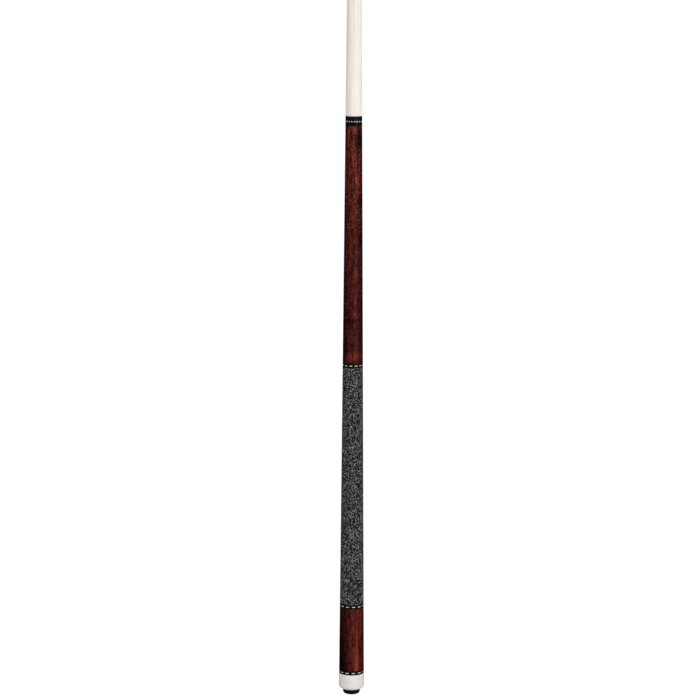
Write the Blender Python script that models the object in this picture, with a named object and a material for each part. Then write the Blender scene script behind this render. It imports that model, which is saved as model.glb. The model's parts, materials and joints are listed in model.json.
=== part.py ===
"""A two-piece pool cue, standing on its butt.

+Z runs up the cue's axis, from the middle of the bumper's foot at the origin to the top of the leather tip.
Run it with blender --background --python part.py, or from Blender's text editor. Lengths are in metres.

The butt is a forearm and a tapered handle core, joined by a steel stud. The core carries the linen wrap, a
decorative ring set at each end of it, the butt sleeve, another ring set and the butt cap. A weight bolt and a
push-in rubber bumper fill the bore at its foot. The shaft screws onto a steel pin that stands out of the
forearm, and it carries the collar, the threaded insert, the ferrule, the pad and the tip.
"""

import math

import bmesh
import bpy

MM = 0.001

# ---- Lengths, from the foot of the bumper upwards ----
BUTT_LENGTH = 736.6 * MM
SHAFT_LENGTH = 736.6 * MM
BUMPER_HEAD_HEIGHT = 6.7 * MM
CAP_LENGTH = 20.7 * MM
SLEEVE_LENGTH = 81.5 * MM
WRAP_LENGTH = 305.8 * MM
TRIM_HEIGHT = 1.9 * MM
STITCH_HEIGHT = 1.6 * MM
JOINT_COLLAR_HEIGHT = 4.6 * MM
SHAFT_COLLAR_HEIGHT = 3.9 * MM
FERRULE_LENGTH = 25.4 * MM
PAD_THICKNESS = 1.0 * MM
TIP_HEIGHT = 6.0 * MM

# ---- Diameters ----
JOINT_DIAMETER = 20.8 * MM
SLEEVE_DIAMETER = 31.8 * MM
CAP_DIAMETER = 32.4 * MM
BUMPER_DIAMETER = 21.7 * MM
TIP_DIAMETER = 13.0 * MM
STRAIGHT_LENGTH = 222.6 * MM
TAPER_BLEND = 70.0 * MM

# ---- Hidden joinery ----
CORE_WALL = 2.35 * MM
JOINT_TENON_WALL = 1.1 * MM
WRAP_THICKNESS = 0.9 * MM
SLOT_DEPTH = 1.3 * MM
STUD_RADIUS = 4.0 * MM
STUD_LENGTH = 60.0 * MM
FERRULE_WALL = 2.2 * MM
FERRULE_ROOF = 3.8 * MM
INSERT_WALL = 1.35 * MM
INSERT_LENGTH = 19.0 * MM
CAP_FLOOR = 6.5 * MM
CAP_CORNER_WIDTH = 5.0 * MM
CAP_CORNER_HEIGHT = 5.3 * MM
TIP_DOME_RADIUS = 10.6 * MM

# ---- Joint pin and its thread, 5/16 inch with 18 turns to the inch ----
PIN_RADIUS = 3.95 * MM
PIN_REACH = 25.4 * MM
PIN_ANCHOR = 32.0 * MM
PIN_CHAMFER = 1.0 * MM
THREAD_PITCH = 25.4 / 18.0 * MM
THREAD_DEPTH = 0.75 * MM
CREST_WIDTH = 0.2 * MM
FLANK_SLOPE = math.tan(math.radians(30.0))

# ---- Weight bolt and bumper ----
BOLT_RADIUS = 6.35 * MM
BOLT_LENGTH = 63.5 * MM
BOLT_SOCKET_WIDTH = 7.9 * MM
BOLT_SOCKET_DEPTH = 8.0 * MM
BOLT_BORE_SPARE = 8.0 * MM
STEM_LENGTH = 17.0 * MM
STEM_TO_BOLT = 10.6 * MM
RIB_HEIGHT = 0.7 * MM
RIB_COUNT = 3
FOOT_RADIUS = 7.5 * MM

# ---- Stitch rings: how many dashes, the angle of the first in degrees, and their share of the turn ----
JOINT_DASHES = 20
JOINT_DASH_ANGLE = -84.4
RING_DASHES = 12
UPPER_RING_ANGLE = -100.9
LOWER_RING_ANGLE = -81.1
CAP_RING_ANGLE = -81.0
DASH_SHARE = 0.65

# ---- Clearances ----
GAP = 0.3 * MM
BLIND_SPARE = 1.0 * MM
CHAMFER = 0.4 * MM

# ---- Fineness of the solids ----
SEGMENTS = 32
SMALL_SEGMENTS = 16
JOINT_DASH_STEPS = (1, 1)
RING_DASH_STEPS = (2, 1)
ARC_STEPS = 4
BLEND_STEPS = 6
SMOOTH_ANGLE = math.radians(35.0)
WELD = 1e-7

# ---- Stations along the axis, worked out from the lengths ----
RING_SET_HEIGHT = 2.0 * TRIM_HEIGHT + STITCH_HEIGHT
CAP_LOW = BUMPER_HEAD_HEIGHT
CAP_RING_LOW = CAP_LOW + CAP_LENGTH
SLEEVE_LOW = CAP_RING_LOW + RING_SET_HEIGHT
LOWER_RING_LOW = SLEEVE_LOW + SLEEVE_LENGTH
WRAP_LOW = LOWER_RING_LOW + RING_SET_HEIGHT
UPPER_RING_LOW = WRAP_LOW + WRAP_LENGTH
FOREARM_LOW = UPPER_RING_LOW + RING_SET_HEIGHT
JOINT_FACE = BUTT_LENGTH
JOINT_TRIM_LOW = JOINT_FACE - TRIM_HEIGHT
JOINT_STITCH_LOW = JOINT_TRIM_LOW - STITCH_HEIGHT
JOINT_COLLAR_LOW = JOINT_STITCH_LOW - JOINT_COLLAR_HEIGHT
TIP_TOP = JOINT_FACE + SHAFT_LENGTH
TIP_LOW = TIP_TOP - TIP_HEIGHT
PAD_LOW = TIP_LOW - PAD_THICKNESS
FERRULE_LOW = PAD_LOW - FERRULE_LENGTH
SHAFT_WOOD_LOW = JOINT_FACE + SHAFT_COLLAR_HEIGHT
BOLT_START = BUMPER_HEAD_HEIGHT - GAP + STEM_LENGTH + STEM_TO_BOLT
FERRULE_CEILING = FERRULE_LENGTH - GAP - FERRULE_ROOF
FERRULE_TENON_LENGTH = FERRULE_CEILING - GAP
TAPER_END = FERRULE_LOW - STRAIGHT_LENGTH

# ---- Radii that fit one another ----
BOLT_BORE_RADIUS = BOLT_RADIUS + GAP
RIB_RADIUS = BOLT_BORE_RADIUS - GAP
STEM_RADIUS = RIB_RADIUS - RIB_HEIGHT
CORE_TENON_RADIUS = BOLT_BORE_RADIUS + CORE_WALL
CORE_SOCKET_RADIUS = CORE_TENON_RADIUS + GAP
STUD_BORE_RADIUS = STUD_RADIUS + GAP
PIN_BORE_RADIUS = PIN_RADIUS + GAP
INSERT_RADIUS = PIN_BORE_RADIUS + INSERT_WALL
INSERT_BORE_RADIUS = INSERT_RADIUS + GAP
JOINT_TENON_RADIUS = INSERT_BORE_RADIUS + JOINT_TENON_WALL
JOINT_SOCKET_RADIUS = JOINT_TENON_RADIUS + GAP
FERRULE_BORE_RADIUS = TIP_DIAMETER / 2.0 - FERRULE_WALL
FERRULE_TENON_RADIUS = FERRULE_BORE_RADIUS - GAP


def butt_radius(height):
    """The butt tapers evenly from the sleeve's lower end to the joint."""
    share = (height - SLEEVE_LOW) / (JOINT_FACE - SLEEVE_LOW)
    return (SLEEVE_DIAMETER + share * (JOINT_DIAMETER - SLEEVE_DIAMETER)) / 2.0


def shaft_radius(height):
    """The shaft tapers evenly, then eases through a parabola into a straight stretch below the ferrule."""
    taper = (JOINT_DIAMETER - TIP_DIAMETER) / (TAPER_END - JOINT_FACE)
    below = TAPER_END - height
    half = TAPER_BLEND / 2.0
    if below > half:
        extra = below
    elif below > -half:
        extra = (below + half) ** 2 / (2.0 * TAPER_BLEND)
    else:
        extra = 0.0
    return (TIP_DIAMETER + taper * extra) / 2.0


# ---- Materials ----


def finish(name, colour, roughness, metallic=0.0):
    """A Principled BSDF material of one colour."""
    material = bpy.data.materials.new(name)
    material.use_nodes = True
    shader = material.node_tree.nodes["Principled BSDF"]
    shader.inputs["Base Color"].default_value = (*colour, 1.0)
    shader.inputs["Roughness"].default_value = roughness
    shader.inputs["Metallic"].default_value = metallic
    material.diffuse_color = (*colour, 1.0)
    return material


# ---- Shapes ----


def new_object(name, shape, material, parent, seat):
    """Turns a bmesh into a named object whose origin is on the cue's axis at the height of its seat."""
    bmesh.ops.remove_doubles(shape, verts=shape.verts, dist=WELD)
    bmesh.ops.recalc_face_normals(shape, faces=shape.faces)
    mesh = bpy.data.meshes.new(name)
    shape.to_mesh(mesh)
    shape.free()
    mesh.shade_smooth()
    mesh.set_sharp_from_angle(angle=SMOOTH_ANGLE)
    mesh.materials.append(material)
    obj = bpy.data.objects.new(name, mesh)
    bpy.context.scene.collection.objects.link(obj)
    obj.parent = parent
    obj.location = (0.0, 0.0, seat - parent.location.z)
    return obj


def turned(name, outline, material, parent, seat, segments=SEGMENTS):
    """Spins an outline of (radius, height) points round the axis, with heights counted from the seat.

    The outline is a closed ring, unless it starts and ends on the axis.
    """
    shape = bmesh.new()
    points = [shape.verts.new((radius, 0.0, height)) for radius, height in outline]
    edges = [shape.edges.new(pair) for pair in zip(points, points[1:])]
    if outline[0][0] > 0.0:
        edges.append(shape.edges.new((points[-1], points[0])))
    bmesh.ops.spin(
        shape,
        geom=points + edges,
        cent=(0.0, 0.0, 0.0),
        axis=(0.0, 0.0, 1.0),
        angle=math.tau,
        steps=segments,
        use_merge=True,
    )
    return new_object(name, shape, material, parent, seat)


def tube(inner_low, inner_high, outer_low, outer_high, length):
    """The outline of a straight or tapered tube."""
    return [
        (outer_high, length),
        (outer_low, 0.0),
        (inner_low, 0.0),
        (inner_high, length),
    ]


def arc(centre, width, height, start, end, steps=ARC_STEPS):
    """Points on an elliptical arc, with its angles in degrees."""
    points = []
    for step in range(steps + 1):
        angle = math.radians(start + (end - start) * step / steps)
        points.append(
            (
                centre[0] + width * math.cos(angle),
                centre[1] + height * math.sin(angle),
            )
        )
    return points


def sectors(count, share, first_degrees, steps):
    """The edges of alternating marked and plain sectors, and a list that says which are marked."""
    angles = []
    marked = []
    period = math.tau / count
    for index in range(count):
        start = math.radians(first_degrees) + period * (index - share / 2.0)
        angles += [start + period * share * step / steps[0] for step in range(steps[0])]
        marked += [True] * steps[0]
        rest = start + period * share
        angles += [
            rest + period * (1.0 - share) * step / steps[1] for step in range(steps[1])
        ]
        marked += [False] * steps[1]
    return angles, marked


def flat_bands(shape, radii, angles, height):
    """Rings of flat faces between the radii, as one list of faces for each band."""
    rows = []
    for radius in radii:
        rows.append(
            [
                shape.verts.new((radius * math.cos(a), radius * math.sin(a), height))
                for a in angles
            ]
        )
    bands = []
    for inner, outer in zip(rows, rows[1:]):
        band = []
        for here in range(len(angles)):
            after = (here + 1) % len(angles)
            corners = (inner[here], outer[here], outer[after], inner[after])
            band.append(shape.faces.new(corners))
        bands.append(band)
    return bands


def raise_faces(shape, faces, height):
    """Extrudes faces straight up, or down for a negative height."""
    extruded = bmesh.ops.extrude_face_region(shape, geom=faces)["geom"]
    moved = [item for item in extruded if isinstance(item, bmesh.types.BMVert)]
    bmesh.ops.translate(shape, verts=moved, vec=(0.0, 0.0, height))


def stitch_ring(name, inner, outer, height, dashes, material, parent, seat):
    """A ring with a tooth for each dash, and a slot between each two teeth."""
    count, first_degrees, steps = dashes
    angles, marked = sectors(count, DASH_SHARE, first_degrees, steps)
    shape = bmesh.new()
    bands = flat_bands(shape, (inner, outer - SLOT_DEPTH, outer), angles, 0.0)
    slots = [face for face, tooth in zip(bands[1], marked) if not tooth]
    bmesh.ops.delete(shape, geom=slots, context="FACES")
    raise_faces(shape, shape.faces[:], height)
    return new_object(name, shape, material, parent, seat)


def fingered_ring(name, inner, outer, height, reach, dashes, material, parent, seat):
    """A ring with fingers that reach down into the slots of the stitch ring below it."""
    count, first_degrees, steps = dashes
    period = math.tau / count
    finger = period * (1.0 - DASH_SHARE) - 2.0 * GAP / outer
    between = first_degrees + 180.0 / count
    angles, marked = sectors(count, finger / period, between, steps[::-1])
    shape = bmesh.new()
    radii = (inner, outer - SLOT_DEPTH + GAP, outer)
    bands = flat_bands(shape, radii, angles, 0.0)
    fingers = [face for face, inside in zip(bands[1], marked) if inside]
    raise_faces(shape, shape.faces[:], height)
    raise_faces(shape, fingers, -reach)
    bmesh.ops.delete(shape, geom=fingers, context="FACES_ONLY")
    return new_object(name, shape, material, parent, seat)


def ring_set(prefix, low, socket, dashes, dash_material, trim_material, parent):
    """A stitch ring between two trims, all on one tenon and each a gap short of the piece above it."""
    stitch_low = low + TRIM_HEIGHT
    upper_low = stitch_low + STITCH_HEIGHT
    outer = butt_radius(stitch_low + STITCH_HEIGHT / 2.0)
    trim_height = TRIM_HEIGHT - GAP
    stitch_height = STITCH_HEIGHT - GAP
    turned(
        prefix + "_lower_trim",
        tube(socket, socket, outer, outer, trim_height),
        trim_material,
        parent,
        low,
    )
    stitch_ring(
        prefix + "_stitch_ring",
        socket,
        outer,
        stitch_height,
        dashes,
        dash_material,
        parent,
        stitch_low,
    )
    fingered_ring(
        prefix + "_upper_trim",
        socket,
        outer,
        trim_height,
        stitch_height,
        dashes,
        trim_material,
        parent,
        upper_low,
    )


def thread_wall(shape, valley, ridge, plain, ridge_half, low, high, seat):
    """A right-hand helical wall round the axis, and its flat lower and upper rims.

    Every wall counts its turns from the joint face, so a pin and an insert made here are in mesh. ridge is the
    radius at the middle of each turn and valley the radius between turns. The first and last turns keep the
    plain radius and the ones next to them fade to it. low and high are heights above the joint face.
    """
    flank_half = ridge_half + THREAD_DEPTH * FLANK_SLOPE
    shares = [
        0.5 + offset / THREAD_PITCH
        for offset in (-flank_half, -ridge_half, ridge_half, flank_half)
    ]
    radii = (valley, ridge, ridge, valley)
    first_turn = math.ceil(low / THREAD_PITCH)
    last_turn = math.floor(high / THREAD_PITCH) - 1
    starts = first_turn + 1 + shares[0]
    ends = last_turn - 2 + shares[-1]

    columns = []
    for step in range(SMALL_SEGMENTS):
        column = []
        angle = math.tau * step / SMALL_SEGMENTS
        for turn in range(first_turn, last_turn):
            for share, wanted in zip(shares, radii):
                along = turn + share + step / SMALL_SEGMENTS
                fade = min(1.0, max(0.0, along - starts), max(0.0, ends - along))
                radius = plain + (wanted - plain) * fade
                height = along * THREAD_PITCH - seat
                place = (radius * math.cos(angle), radius * math.sin(angle), height)
                column.append(shape.verts.new(place))
        columns.append(column)

    turn_points = len(shares)
    for left, right in zip(columns, columns[1:]):
        for row in range(len(left) - 1):
            shape.faces.new((left[row], right[row], right[row + 1], left[row + 1]))
    left = columns[-1]
    right = columns[0]
    for row in range(len(left) - turn_points - 1):
        above = row + turn_points
        shape.faces.new((left[row], right[above], right[above + 1], left[row + 1]))

    lower_rim = rim(shape, plain, low - seat)
    upper_rim = rim(shape, plain, high - seat)
    for step in range(SMALL_SEGMENTS - 1):
        after = step + 1
        shape.faces.new(
            (lower_rim[step], lower_rim[after], columns[after][0], columns[step][0])
        )
        shape.faces.new(
            (columns[step][-1], columns[after][-1], upper_rim[after], upper_rim[step])
        )
    seam_low = right[turn_points::-1]
    shape.faces.new([lower_rim[-1], lower_rim[0], *seam_low[::-1], left[0]])
    seam_high = left[-turn_points - 1 :]
    shape.faces.new([upper_rim[0], upper_rim[-1], *seam_high[::-1], right[-1]])
    return lower_rim, upper_rim


def rim(shape, radius, height):
    """A circle of points round the axis."""
    points = []
    for step in range(SMALL_SEGMENTS):
        angle = math.tau * step / SMALL_SEGMENTS
        place = (radius * math.cos(angle), radius * math.sin(angle), height)
        points.append(shape.verts.new(place))
    return points


def join_rims(shape, one, other):
    """A band of faces between two circles of points."""
    for step in range(len(one)):
        after = (step + 1) % len(one)
        shape.faces.new((one[step], one[after], other[after], other[step]))


# ---- The butt ----


def make_bumper(material, parent):
    """A rubber foot with a flat sole, on a ribbed stem that pushes into the butt's bore."""
    head = BUMPER_DIAMETER / 2.0
    top = BUMPER_HEAD_HEIGHT - GAP
    round_width = head - FOOT_RADIUS
    outline = [(0.0, 0.0)]
    outline += arc((FOOT_RADIUS, round_width), round_width, round_width, -90.0, 0.0)
    outline += [(head, top - CHAMFER), (head - CHAMFER, top), (STEM_RADIUS, top)]
    spacing = STEM_LENGTH / (RIB_COUNT + 1)
    for rib in range(RIB_COUNT):
        foot = top + spacing * (rib + 0.5)
        outline += [
            (STEM_RADIUS, foot),
            (RIB_RADIUS, foot + spacing / 4.0),
            (STEM_RADIUS, foot + spacing),
        ]
    outline += [
        (STEM_RADIUS, top + STEM_LENGTH - CHAMFER),
        (STEM_RADIUS - CHAMFER, top + STEM_LENGTH),
        (0.0, top + STEM_LENGTH),
    ]
    turned("bumper", outline, material, parent, 0.0)


def make_butt_cap(material, parent):
    """A cap with a rounded lower corner, bored for the bumper and counterbored for the core's tenon."""
    top = CAP_LENGTH - GAP
    widest = CAP_DIAMETER / 2.0
    corner = (widest - CAP_CORNER_WIDTH, CAP_CORNER_HEIGHT)
    outline = [(butt_radius(CAP_RING_LOW), top)]
    outline += arc(corner, CAP_CORNER_WIDTH, CAP_CORNER_HEIGHT, 0.0, -90.0)
    outline += [
        (BOLT_BORE_RADIUS, 0.0),
        (BOLT_BORE_RADIUS, CAP_FLOOR),
        (CORE_SOCKET_RADIUS, CAP_FLOOR),
        (CORE_SOCKET_RADIUS, top),
    ]
    turned("butt_cap", outline, material, parent, CAP_LOW)


def make_sleeve(material, parent):
    """The stained wood sleeve between the cap's ring set and the lower wrap ring set."""
    length = SLEEVE_LENGTH - GAP
    low = butt_radius(SLEEVE_LOW)
    high = butt_radius(SLEEVE_LOW + length)
    outline = tube(CORE_SOCKET_RADIUS, CORE_SOCKET_RADIUS, low, high, length)
    turned("butt_sleeve", outline, material, parent, SLEEVE_LOW)


def make_wrap(material, parent):
    """The linen wrap as one sleeve, flush with the rings at its ends."""
    length = WRAP_LENGTH - GAP
    low = butt_radius(WRAP_LOW)
    high = butt_radius(WRAP_LOW + length)
    outline = tube(low - WRAP_THICKNESS, high - WRAP_THICKNESS, low, high, length)
    turned("linen_wrap", outline, material, parent, WRAP_LOW)


def make_core(material, parent):
    """The handle's dowel: a tapered seat under the wrap, a tenon each side of it, and a bore in each end."""
    seat = CAP_LOW + CAP_FLOOR + GAP
    top = FOREARM_LOW - GAP - seat
    seat_low = WRAP_LOW - seat
    seat_high = WRAP_LOW + WRAP_LENGTH - GAP - seat
    under_wrap = WRAP_THICKNESS + GAP
    stud_floor = FOREARM_LOW - STUD_LENGTH / 2.0 - BLIND_SPARE - seat
    bolt_ceiling = BOLT_START + BOLT_LENGTH + BOLT_BORE_SPARE - seat
    outline = [
        (0.0, stud_floor),
        (STUD_BORE_RADIUS, stud_floor),
        (STUD_BORE_RADIUS, top),
        (CORE_TENON_RADIUS, top),
        (CORE_TENON_RADIUS, seat_high),
        (butt_radius(seat_high + seat) - under_wrap, seat_high),
        (butt_radius(seat_low + seat) - under_wrap, seat_low),
        (CORE_TENON_RADIUS, seat_low),
        (CORE_TENON_RADIUS, 0.0),
        (BOLT_BORE_RADIUS, 0.0),
        (BOLT_BORE_RADIUS, bolt_ceiling),
        (0.0, bolt_ceiling),
    ]
    turned("handle_core", outline, material, parent, seat)


def make_weight_bolt(material, parent):
    """A steel bolt in the core's bore, with a hexagonal socket that faces the foot of the cue."""
    outline = [
        (0.0, BOLT_LENGTH),
        (BOLT_RADIUS - CHAMFER, BOLT_LENGTH),
        (BOLT_RADIUS, BOLT_LENGTH - CHAMFER),
        (BOLT_RADIUS, CHAMFER),
        (BOLT_RADIUS - CHAMFER, 0.0),
        (0.0, 0.0),
    ]
    bolt = turned(
        "weight_bolt", outline, material, parent, BOLT_START, SMALL_SEGMENTS
    )
    shape = bmesh.new()
    corner_radius = BOLT_SOCKET_WIDTH / math.sqrt(3.0)
    bmesh.ops.create_cone(
        shape,
        cap_ends=True,
        segments=6,
        radius1=corner_radius,
        radius2=corner_radius,
        depth=2.0 * BOLT_SOCKET_DEPTH,
    )
    cutter = new_object("bolt_socket_cutter", shape, material, parent, BOLT_START)
    cutter.hide_render = True
    cutter.display_type = "WIRE"
    socket = bolt.modifiers.new("Socket", "BOOLEAN")
    socket.operation = "DIFFERENCE"
    socket.solver = "EXACT"
    socket.object = cutter


def make_forearm(material, parent):
    """The long stained front of the butt, with a tenon for the joint's rings and a bore in each end."""
    shoulder = JOINT_COLLAR_LOW - GAP - FOREARM_LOW
    top = JOINT_FACE - GAP - FOREARM_LOW
    stud_ceiling = STUD_LENGTH / 2.0 + BLIND_SPARE
    pin_floor = JOINT_FACE - PIN_ANCHOR - BLIND_SPARE - FOREARM_LOW
    outline = [
        (0.0, pin_floor),
        (PIN_BORE_RADIUS, pin_floor),
        (PIN_BORE_RADIUS, top),
        (JOINT_TENON_RADIUS, top),
        (JOINT_TENON_RADIUS, shoulder),
        (butt_radius(JOINT_COLLAR_LOW), shoulder),
        (butt_radius(FOREARM_LOW), 0.0),
        (STUD_BORE_RADIUS, 0.0),
        (STUD_BORE_RADIUS, stud_ceiling),
        (0.0, stud_ceiling),
    ]
    turned("forearm", outline, material, parent, FOREARM_LOW)


def make_stud(material, parent):
    """The steel stud that draws the forearm and the handle core together."""
    outline = [
        (0.0, STUD_LENGTH),
        (STUD_RADIUS - CHAMFER, STUD_LENGTH),
        (STUD_RADIUS, STUD_LENGTH - CHAMFER),
        (STUD_RADIUS, CHAMFER),
        (STUD_RADIUS - CHAMFER, 0.0),
        (0.0, 0.0),
    ]
    low = FOREARM_LOW - STUD_LENGTH / 2.0
    turned("handle_stud", outline, material, parent, low, SMALL_SEGMENTS)


def make_joint_rings(collar_material, dash_material, trim_material, parent):
    """The black collar, the stitch ring and the trim that the shaft seats on, all on the forearm's tenon."""
    dashes = (JOINT_DASHES, JOINT_DASH_ANGLE, JOINT_DASH_STEPS)
    socket = JOINT_SOCKET_RADIUS
    outer = butt_radius(JOINT_STITCH_LOW)
    collar_height = JOINT_COLLAR_HEIGHT - GAP
    turned(
        "joint_collar",
        tube(socket, socket, outer, outer, collar_height),
        collar_material,
        parent,
        JOINT_COLLAR_LOW,
    )
    stitch_height = STITCH_HEIGHT - GAP
    stitch_ring(
        "joint_stitch_ring",
        socket,
        outer,
        stitch_height,
        dashes,
        dash_material,
        parent,
        JOINT_STITCH_LOW,
    )
    fingered_ring(
        "joint_trim",
        socket,
        outer,
        TRIM_HEIGHT - GAP,
        stitch_height,
        dashes,
        trim_material,
        parent,
        JOINT_TRIM_LOW,
    )


def make_joint_pin(material, parent):
    """The steel pin: a plain anchor in the forearm and a right-hand thread that stands out of the joint face."""
    shape = bmesh.new()
    root = PIN_RADIUS - THREAD_DEPTH
    top = PIN_REACH - PIN_CHAMFER
    crest_half = CREST_WIDTH / 2.0
    low, high = thread_wall(shape, root, PIN_RADIUS, root, crest_half, 0.0, top, 0.0)
    tip_rim = rim(shape, root - PIN_CHAMFER, PIN_REACH)
    join_rims(shape, high, tip_rim)
    shape.faces.new(tip_rim)
    shoulder = rim(shape, PIN_RADIUS, -THREAD_DEPTH)
    join_rims(shape, low, shoulder)
    anchor = rim(shape, PIN_RADIUS, CHAMFER - PIN_ANCHOR)
    join_rims(shape, shoulder, anchor)
    end = rim(shape, PIN_RADIUS - CHAMFER, -PIN_ANCHOR)
    join_rims(shape, anchor, end)
    shape.faces.new(end)
    new_object("joint_pin", shape, material, parent, JOINT_FACE)


# ---- The shaft ----


def make_shaft_collar(material, parent):
    """The satin collar round the foot of the shaft."""
    socket = JOINT_SOCKET_RADIUS
    outer = JOINT_DIAMETER / 2.0
    outline = tube(socket, socket, outer, outer, SHAFT_COLLAR_HEIGHT - GAP)
    turned("shaft_collar", outline, material, parent, JOINT_FACE)


def make_insert(material, parent):
    """The brass insert, whose thread runs round the pin's with a gap all along its flanks."""
    shape = bmesh.new()
    groove = PIN_BORE_RADIUS
    land = groove - THREAD_DEPTH
    groove_half = CREST_WIDTH / 2.0
    low, high = thread_wall(
        shape, land, groove, groove, groove_half, 0.0, INSERT_LENGTH, 0.0
    )
    outer_low = rim(shape, INSERT_RADIUS, 0.0)
    outer_high = rim(shape, INSERT_RADIUS, INSERT_LENGTH)
    join_rims(shape, low, outer_low)
    join_rims(shape, outer_low, outer_high)
    join_rims(shape, outer_high, high)
    new_object("shaft_insert", shape, material, parent, JOINT_FACE)


def make_shaft(material, parent):
    """The maple shaft, bored for the insert and the pin, with a tenon at each end."""
    insert_ceiling = INSERT_LENGTH + GAP
    pin_ceiling = PIN_REACH + BLIND_SPARE
    shoulder = FERRULE_LOW - GAP - JOINT_FACE
    tenon_top = FERRULE_LOW + FERRULE_TENON_LENGTH - JOINT_FACE
    blend_from = TAPER_END - JOINT_FACE - TAPER_BLEND / 2.0
    collar_top = SHAFT_WOOD_LOW - JOINT_FACE
    outline = [
        (0.0, tenon_top),
        (FERRULE_TENON_RADIUS - CHAMFER, tenon_top),
        (FERRULE_TENON_RADIUS, tenon_top - CHAMFER),
        (FERRULE_TENON_RADIUS, shoulder),
        (shaft_radius(shoulder + JOINT_FACE), shoulder),
    ]
    for step in range(BLEND_STEPS, -1, -1):
        height = blend_from + TAPER_BLEND * step / BLEND_STEPS
        outline.append((shaft_radius(height + JOINT_FACE), height))
    outline += [
        (shaft_radius(SHAFT_WOOD_LOW), collar_top),
        (JOINT_TENON_RADIUS, collar_top),
        (JOINT_TENON_RADIUS, 0.0),
        (INSERT_BORE_RADIUS, 0.0),
        (INSERT_BORE_RADIUS, insert_ceiling),
        (PIN_BORE_RADIUS, insert_ceiling),
        (PIN_BORE_RADIUS, pin_ceiling),
        (0.0, pin_ceiling),
    ]
    turned("shaft", outline, material, parent, JOINT_FACE)


def make_ferrule(material, parent):
    """A capped ferrule over the shaft's tenon."""
    outer = TIP_DIAMETER / 2.0
    length = FERRULE_LENGTH - GAP
    outline = [
        (0.0, length),
        (outer, length),
        (outer, 0.0),
        (FERRULE_BORE_RADIUS, 0.0),
        (FERRULE_BORE_RADIUS, FERRULE_CEILING),
        (0.0, FERRULE_CEILING),
    ]
    turned("ferrule", outline, material, parent, FERRULE_LOW)


def make_pad(material, parent):
    """The fibre pad between the ferrule and the tip."""
    outer = TIP_DIAMETER / 2.0
    height = PAD_THICKNESS - GAP
    outline = [(0.0, height), (outer, height), (outer, 0.0), (0.0, 0.0)]
    turned("tip_pad", outline, material, parent, PAD_LOW)


def make_tip(material, parent):
    """The leather tip, a short cylinder under a spherical dome."""
    outer = TIP_DIAMETER / 2.0
    centre = TIP_HEIGHT - TIP_DOME_RADIUS
    edge_angle = math.degrees(math.acos(outer / TIP_DOME_RADIUS))
    outline = [(0.0, 0.0), (outer, 0.0)]
    dome = arc(
        (0.0, centre), TIP_DOME_RADIUS, TIP_DOME_RADIUS, edge_angle, 90.0
    )
    outline += dome[:-1]
    outline.append((0.0, TIP_HEIGHT))
    turned("tip", outline, material, parent, TIP_LOW)


def joint_empty(name, height):
    """An empty on the cue's axis, which carries the pieces that move together."""
    empty = bpy.data.objects.new(name, None)
    empty.location = (0.0, 0.0, height)
    bpy.context.scene.collection.objects.link(empty)
    return empty


def main():
    for obj in list(bpy.data.objects):
        bpy.data.objects.remove(obj)

    stained = finish("stained_maple", (0.075, 0.014, 0.008), 0.25)
    maple = finish("maple", (0.79, 0.70, 0.58), 0.4)
    hidden_maple = finish("hidden_maple", (0.60, 0.42, 0.25), 0.6)
    linen = finish("black_linen", (0.045, 0.045, 0.045), 0.85)
    gloss_black = finish("gloss_black", (0.006, 0.006, 0.007), 0.2)
    satin_black = finish("satin_black", (0.008, 0.008, 0.009), 0.45)
    silver = finish("silver", (0.60, 0.60, 0.60), 0.25, 1.0)
    champagne = finish("champagne", (0.62, 0.54, 0.42), 0.3, 1.0)
    white = finish("white_cap", (0.72, 0.70, 0.64), 0.25)
    rubber = finish("rubber", (0.006, 0.006, 0.007), 0.7)
    steel = finish("steel", (0.55, 0.55, 0.56), 0.3, 1.0)
    brass = finish("brass", (0.70, 0.50, 0.20), 0.3, 1.0)
    fibre = finish("fibre", (0.28, 0.03, 0.02), 0.7)
    leather = finish("leather", (0.10, 0.16, 0.22), 0.8)
    ivory = finish("ferrule_white", (0.83, 0.80, 0.72), 0.3)

    butt = joint_empty("butt_axis", 0.0)
    shaft = joint_empty("shaft_axis", JOINT_FACE)
    plug = joint_empty("bumper_axis", 0.0)

    make_bumper(rubber, plug)
    make_butt_cap(white, butt)
    socket = CORE_SOCKET_RADIUS
    for prefix, low, first_degrees in (
        ("cap_ring", CAP_RING_LOW, CAP_RING_ANGLE),
        ("lower_wrap_ring", LOWER_RING_LOW, LOWER_RING_ANGLE),
        ("upper_wrap_ring", UPPER_RING_LOW, UPPER_RING_ANGLE),
    ):
        dashes = (RING_DASHES, first_degrees, RING_DASH_STEPS)
        ring_set(prefix, low, socket, dashes, champagne, gloss_black, butt)
    make_sleeve(stained, butt)
    make_wrap(linen, butt)
    make_core(hidden_maple, butt)
    make_weight_bolt(steel, butt)
    make_forearm(stained, butt)
    make_stud(steel, butt)
    make_joint_rings(gloss_black, silver, gloss_black, butt)
    make_joint_pin(steel, butt)

    make_shaft_collar(satin_black, shaft)
    make_insert(brass, shaft)
    make_shaft(maple, shaft)
    make_ferrule(ivory, shaft)
    make_pad(fibre, shaft)
    make_tip(leather, shaft)


main()
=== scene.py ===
# %% [markdown]
# # A two-piece pool cue
# The cue stands on its rubber bumper, with +Z running up its axis. Its sizes, its moving parts and
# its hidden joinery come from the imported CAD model, which this script loads first and never
# changes. What is made here is what the eye sees: turned skins with rounded edges, inlaid dashes,
# wound linen, real threads and the finishes.

# %% Load the CAD model
import json
import math

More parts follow.
